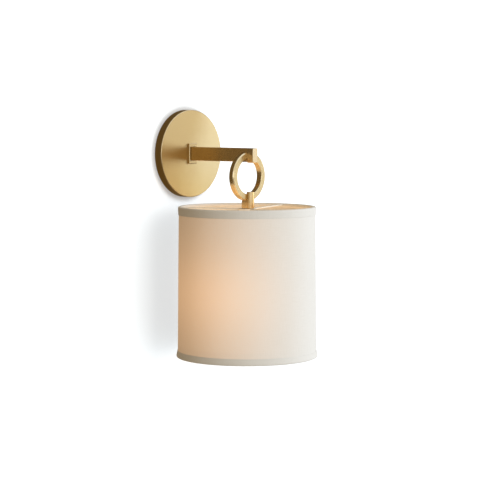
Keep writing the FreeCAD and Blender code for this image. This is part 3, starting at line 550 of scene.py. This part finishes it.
cloth_look = cloth_material("cloth_woven", CLOTH_TONES, CLOTH_GLOW, through=0.325, floor=0.10)
tape_look = cloth_material("tape_cloth", TAPE_TONES, TAPE_GLOW, through=0.02, floor=0.0)
cloth.data.materials.append(cloth_look)
dress(cloth_look, "shade_seam")
dress(tape_look, "top_trim", "bottom_trim")

# %% [markdown]
# ## Inside the shade
#
# The backing sheet is white styrene, calendered smooth, and bright all over because the lamp is
# close. What the camera sees of it deep in the drum is a creamy white, and near the top rim it
# is as warm as in the photograph. Other rays get the warm tone everywhere, because it is that
# light which lights the rim and the spider. Polished brass sees a deep orange, as the ring does
# in the photograph.

# %%
LINER, LINER_DARK = (0.86, 0.80, 0.70, 1), (0.82, 0.75, 0.64, 1)
WARM_LIGHT = (1.0, 0.64, 0.33)
CREAMY_LIGHT = (0.30, 0.27, 0.22, 1)
MIRRORED_LIGHT = (0.170, 0.085, 0.015, 1)
DEEP, SHALLOW = 0.045, 0.008

liner_look, net, inputs = material("backing_sheet", LINER, 0.45)
place = net.object_place()
net.feed(inputs["Base Color"], net.mix(net.noise(place, 30.0, 2.0), LINER, LINER_DARK))
net.feed(inputs["Roughness"], net.band(net.noise(place, 300.0, 3.0, 0.6), 0.3, 0.7, 0.38, 0.55))

lit = use(net, glow_tree, Place=place)
amount = net.math("ADD", net.math("MULTIPLY", lit["Amount"], 0.25), 0.34)
depth = net.band(net.split(place)["Z"], tape_high - DEEP, tape_high - SHALLOW, 1.0, 0.0)
path = net.light_path()
creamy = net.math("MULTIPLY", path["Is Camera Ray"], depth)
bright = net.mix(creamy, net.scale(WARM_LIGHT, amount), CREAMY_LIGHT)
net.feed(inputs["Emission Color"], net.mix(path["Is Glossy Ray"], bright, MIRRORED_LIGHT))
inputs["Emission Strength"].default_value = 1.0
dress(liner_look, "shade_liner")

# %% [markdown]
# ## One recipe for the small parts
#
# Plated steel, lacquer, mouldings, fibre and wire insulation are small here, and most are
# hidden. One recipe serves them: a base colour that drifts with a cloud, fine grain in the
# roughness, and a shallow bump.

# %%
SKIN_BUMP, SKIN_DEPTH = 0.15, 0.00005

skin_tree, net, take, give = group(
    "skin", [("Place", "vector"), ("Light", "colour"), ("Dark", "colour"), ("Rough", "value")],
    [("Color", "colour"), ("Roughness", "value"), ("Height", "value")])
cloud = net.noise(take["Place"], 60.0, 4.0, 0.6)
grain = net.noise(take["Place"], 700.0, 3.0, 0.6)
net.feed(give["Color"], net.mix(net.band(cloud, 0.3, 0.7), take["Dark"], take["Light"]))
net.feed(give["Roughness"], net.math("ADD", take["Rough"], net.band(grain, 0.3, 0.7, -0.06, 0.08)))
net.feed(give["Height"], grain)


def plain(name, light, dark, rough, metallic=0.0, **sockets):
    """A small part's material, between two tones."""
    made, net, inputs = material(name, light, rough, metallic, **sockets)
    out = use(net, skin_tree, Place=net.object_place(), Light=light, Dark=dark, Rough=rough)
    net.feed(inputs["Base Color"], out["Color"])
    net.feed(inputs["Roughness"], out["Roughness"])
    emboss(net, inputs, out["Height"], SKIN_BUMP, SKIN_DEPTH)
    return made


print(f"{skin_tree.name}: {len(skin_tree.nodes)} nodes")

# %% [markdown]
# ## Metals of the small parts
#
# The bracket, pins, pipe and screws are zinc-plated steel. The screw shell and the contacts are
# bright stamped brass, because current runs through them. The lamp's cap is aluminium.

# %%
dress(plain("zinc_steel", (0.62, 0.62, 0.60, 1), (0.50, 0.50, 0.47, 1), 0.34, 1.0),
      "wall_bracket", "arm_screws", "arm_pins", "stem_pins", "lamp_pipe", "terminal_block_screws")
dress(plain("stamped_brass", (0.78, 0.60, 0.30, 1), (0.68, 0.50, 0.23, 1), 0.28, 1.0),
      "screw_shell", "centre_contact", "socket_terminals")
dress(plain("bright_aluminium", (0.74, 0.74, 0.75, 1), (0.64, 0.64, 0.65, 1), 0.25, 1.0),
      "bulb_cap", "bulb_tip")

# %% [markdown]
# ## Mouldings, insulation and enamel
#
# The ground screw is lacquered green, as such screws usually are. The terminal block is white
# nylon, and the body of the lampholder is black phenolic in a sleeve of vulcanised fibre. One
# lead is dark and one is white. The spider and the hoops are wire with a glossy white enamel.

# %%
dress(plain("green_lacquer", (0.06, 0.27, 0.10, 1), (0.04, 0.20, 0.08, 1), 0.35), "ground_screw")
dress(plain("moulding_white", (0.82, 0.81, 0.77, 1), (0.78, 0.76, 0.70, 1), 0.45),
      "terminal_block")
dress(plain("moulding_black", (0.035, 0.03, 0.028, 1), (0.02, 0.018, 0.016, 1), 0.3),
      "socket_interior", "bulb_insulator")
dress(plain("fibre_sleeve", (0.10, 0.08, 0.065, 1), (0.07, 0.055, 0.045, 1), 0.6),
      "socket_sleeve")
dress(plain("dark_insulation", (0.03, 0.03, 0.03, 1), (0.02, 0.02, 0.02, 1), 0.45), "lead_right")
dress(plain("white_insulation", (0.80, 0.80, 0.77, 1), (0.74, 0.73, 0.69, 1), 0.45), "lead_left")
dress(plain("white_enamel", (0.86, 0.84, 0.79, 1), (0.80, 0.78, 0.72, 1), 0.32,
            Coat_Weight=0.3), "spider", "top_wire", "bottom_wire")

# %% [markdown]
# ## The lit lamp
#
# The glass is frosted inside, so the whole bulb glows, and its neck less than its round end.
# The camera sees it a little dimmer than it shines, so that a withdrawn lamp keeps its shape in
# front of the white wall instead of clipping to white.

# %%
FROST = (0.42, 0.39, 0.34, 1)
LAMP_GLOW, LAMP_STRENGTH = (1.0, 0.80, 0.52), 1.1
NECK_SHARE, SEEN_SHARE = 0.35, 0.62

lamp_look, net, inputs = material("lamp_frosted", FROST, 0.35)
place = net.object_place()
frost = net.noise(place, 500.0, 3.0, 0.6)
heat = net.band(net.split(place)["Z"], lamp_high[2], lamp_z, NECK_SHARE, 1.0)
heat = net.math("MULTIPLY", heat, net.band(frost, 0.3, 0.7, 0.96, 1.04))
seen = net.math("MULTIPLY_ADD", net.light_path()["Is Camera Ray"], SEEN_SHARE - 1.0, 1.0)
net.feed(inputs["Emission Color"], net.scale(LAMP_GLOW, net.math("MULTIPLY", heat, seen)))
inputs["Emission Strength"].default_value = LAMP_STRENGTH
net.feed(inputs["Roughness"], net.band(frost, 0.3, 0.7, 0.3, 0.5))
dress(lamp_look, "bulb_glass", "bulb_mount", "bulb_filament")

# %% [markdown]
# ## The paint of the wall
#
# The wall is stage, not part of the light. Its paint has four layers:
#
# - White paper with a little light of its own, so that it comes out pure white, with a soft
#   shadow.
# - A crease of shade round the dish, from ambient occlusion. The soft lamps alone leave too
#   faint a line there.
# - A dim tone for glossy rays. In the photograph the sides of the brass that face along the wall
#   are dark, darker than a white wall beside them would leave them.
# - Nothing at all from behind, so that a view from there shows the inside of the dish, and
#   nothing for rays that only carry light, so that the wall throws none back.

# %%
PAPER, BLACK = (0.94, 0.91, 0.88, 1), (0, 0, 0, 1)
LIFT, CREASE_LIFT = (0.355, 0.445, 0.535, 1), (0.385, 0.43, 0.48, 1)
ROOM_IN_BRASS = (0.165, 0.120, 0.062, 1)
CREASE_REACH, CREASE_FLOOR = 0.013, 0.58


def bare_net(owner):
    """The emptied node tree of a material or a world."""
    owner.use_nodes = True
    owner.node_tree.nodes.clear()
    return Net(owner.node_tree)


wall_look = bpy.data.materials.new("studio_white")
net = bare_net(wall_look)
path = net.light_path()
open_sky = net.add("ShaderNodeAmbientOcclusion", {"Distance": CREASE_REACH}, samples=12)
crease = net.band(open_sky.outputs["AO"], 0.62, 0.94, CREASE_FLOOR, 1.0)
tone = net.mix(crease, BLACK, PAPER)
paper = net.add("ShaderNodeBsdfDiffuse", {"Color": tone, "Roughness": 0.0})
lift_tone = net.mix(net.band(crease, CREASE_FLOOR, 1.0), CREASE_LIFT, LIFT)
lift = net.add("ShaderNodeEmission", {"Color": lift_tone, "Strength": crease})
white = net.add("ShaderNodeAddShader", {0: paper.outputs[0], 1: lift.outputs[0]})
dim = net.add("ShaderNodeEmission", {"Color": ROOM_IN_BRASS, "Strength": 1.0})
toned = net.add("ShaderNodeMixShader",
                {0: path["Is Glossy Ray"], 1: white.outputs[0], 2: dim.outputs[0]})

clear = net.add("ShaderNodeBsdfTransparent")
behind = net.add("ShaderNodeNewGeometry").outputs["Backfacing"]
looking = net.math("MAXIMUM", path["Is Camera Ray"], path["Is Glossy Ray"])
looking = net.math("MAXIMUM", looking, path["Is Transmission Ray"])
shown = net.math("MULTIPLY", looking, net.math("SUBTRACT", 1.0, behind))
final = net.add("ShaderNodeMixShader", {0: shown, 1: clear.outputs[0], 2: toned.outputs[0]})
net.add("ShaderNodeOutputMaterial", {"Surface": final.outputs[0]})
print(f"{wall_look.name}: {len(wall_look.node_tree.nodes)} nodes")

# %% [markdown]
# ## Wall and floor
#
# One sheet stands just behind the dish, curves forward well below the shade and runs out as a
# floor. It is drawn as a profile in the middle plane and stretched sideways.

# %%
WALL_BACK, WALL_TOP = 0.0006, 2.6
FLOOR, FLOOR_FRONT = -0.95, -4.0
CURVE, CURVE_STEPS = 0.5, 12
HALF_WIDTH = 4.0

profile = [(WALL_BACK, WALL_TOP), (WALL_BACK, FLOOR + CURVE)]
for k in range(1, CURVE_STEPS + 1):
    a = math.pi / 2 * k / CURVE_STEPS
    profile.append((WALL_BACK - CURVE + CURVE * math.cos(a), FLOOR + CURVE - CURVE * math.sin(a)))
profile.append((FLOOR_FRONT, FLOOR))
corners = [(x, y, z) for y, z in profile for x in (-HALF_WIDTH, HALF_WIDTH)]
faces = [(2 * k, 2 * k + 2, 2 * k + 3, 2 * k + 1) for k in range(len(profile) - 1)]
studio_mesh = bpy.data.meshes.new("studio")
studio_mesh.from_pydata(corners, [], faces)
for face in studio_mesh.polygons:
    face.use_smooth = True
studio_mesh.materials.append(wall_look)
studio = bpy.data.objects.new("studio", studio_mesh)
bpy.context.collection.objects.link(studio)
print(f"studio: {len(faces)} faces, the wall faces", studio_mesh.polygons[0].normal[:])

# %% [markdown]
# ## The room round the light
#
# The camera sees white. Everything else sees a room that is bright where the windows are, on
# the right and in front, and brown and dim away from them. That contrast gives the metal its
# gradients.

# %%
ROOM_RIGHT = (0.66, -0.745, 0.10)
ROOM_DIM, ROOM_BRIGHT = (0.17, 0.12, 0.10, 1), (0.97, 1.00, 1.01, 1)
GOLDEN, WHITE = (1.0, 0.86, 0.58, 1), (1, 1, 1, 1)

world = bpy.data.worlds.new("world")
bpy.context.scene.world = world
net = bare_net(world)
path = net.light_path()
side = net.dot(net.add("ShaderNodeTexCoord").outputs["Generated"], ROOM_RIGHT)
share = net.math("MULTIPLY_ADD", side, 0.5, 0.5, clamp=True)
tint = net.mix(net.band(side, -0.2, 0.8), GOLDEN, WHITE)
sky = net.mix(1.0, net.mix(share, ROOM_DIM, ROOM_BRIGHT), tint, "MULTIPLY")
level = net.math("MULTIPLY_ADD", path["Is Glossy Ray"], 0.05, 1.0)
room = net.add("ShaderNodeBackground", {"Color": sky, "Strength": level})
blank = net.add("ShaderNodeBackground", {"Color": WHITE, "Strength": 1.0})
both = net.add("ShaderNodeMixShader",
               {0: path["Is Camera Ray"], 1: room.outputs[0], 2: blank.outputs[0]})
net.add("ShaderNodeOutputWorld", {"Surface": both.outputs[0]})
print(f"{world.name}: {len(world.node_tree.nodes)} nodes")

# %% [markdown]
# ## Lamps
#
# A tall softbox in front lights the wall and the cloth and casts the soft shadow to the left.
# Brass would show it as a hard bright bar, so glossy rays don't see it. One on the right rounds
# the drum. A third, beside the camera, is there for the brass alone: it lights nothing else,
# and shows in the faces that look at the camera.

# %%
AIM = (0.0, -0.1, -0.12)


def softbox(name, place, width, power, tall=None):
    """A white rectangular lamp that looks at the light."""
    data = bpy.data.lights.new(name, "AREA")
    data.energy = power
    data.shape = "RECTANGLE"
    data.size = width
    data.size_y = tall or width
    lamp = bpy.data.objects.new(name, data)
    bpy.context.collection.objects.link(lamp)
    lamp.location = place
    lamp.rotation_euler = (Vector(AIM) - Vector(place)).to_track_quat("-Z", "Y").to_euler()
    print(f"{name}: {power} W")
    return lamp


front = softbox("front", (-0.35, -2.6, 0.40), width=1.2, tall=2.2, power=15.8)
front.visible_glossy = False
softbox("right", (2.4, -0.95, 0.3), width=1.0, power=12.0)
glint = softbox("beside_camera", (-1.45, -2.05, 0.25), width=0.6, power=1.2)
glint.visible_diffuse = False

# %% [markdown]
# ## The light of the lamp
#
# A warm point of light, nearly as large as the bulb, stands at its middle. It lights the inside
# of the drum, the spider and the underside of the ring.

# %%
FILAMENT_LIGHT = (1.0, 0.70, 0.42)

bulb = bpy.data.lights.new("bulb_light", "POINT")
bulb.energy = 0.22
bulb.color = FILAMENT_LIGHT
bulb.shadow_soft_size = 0.026
bulb_light = bpy.data.objects.new("bulb_light", bulb)
bpy.context.collection.objects.link(bulb_light)
bulb_light.location = (0.0, axis_y, lamp_z)
print(f"{bulb_light.name}: {bulb.energy} W")
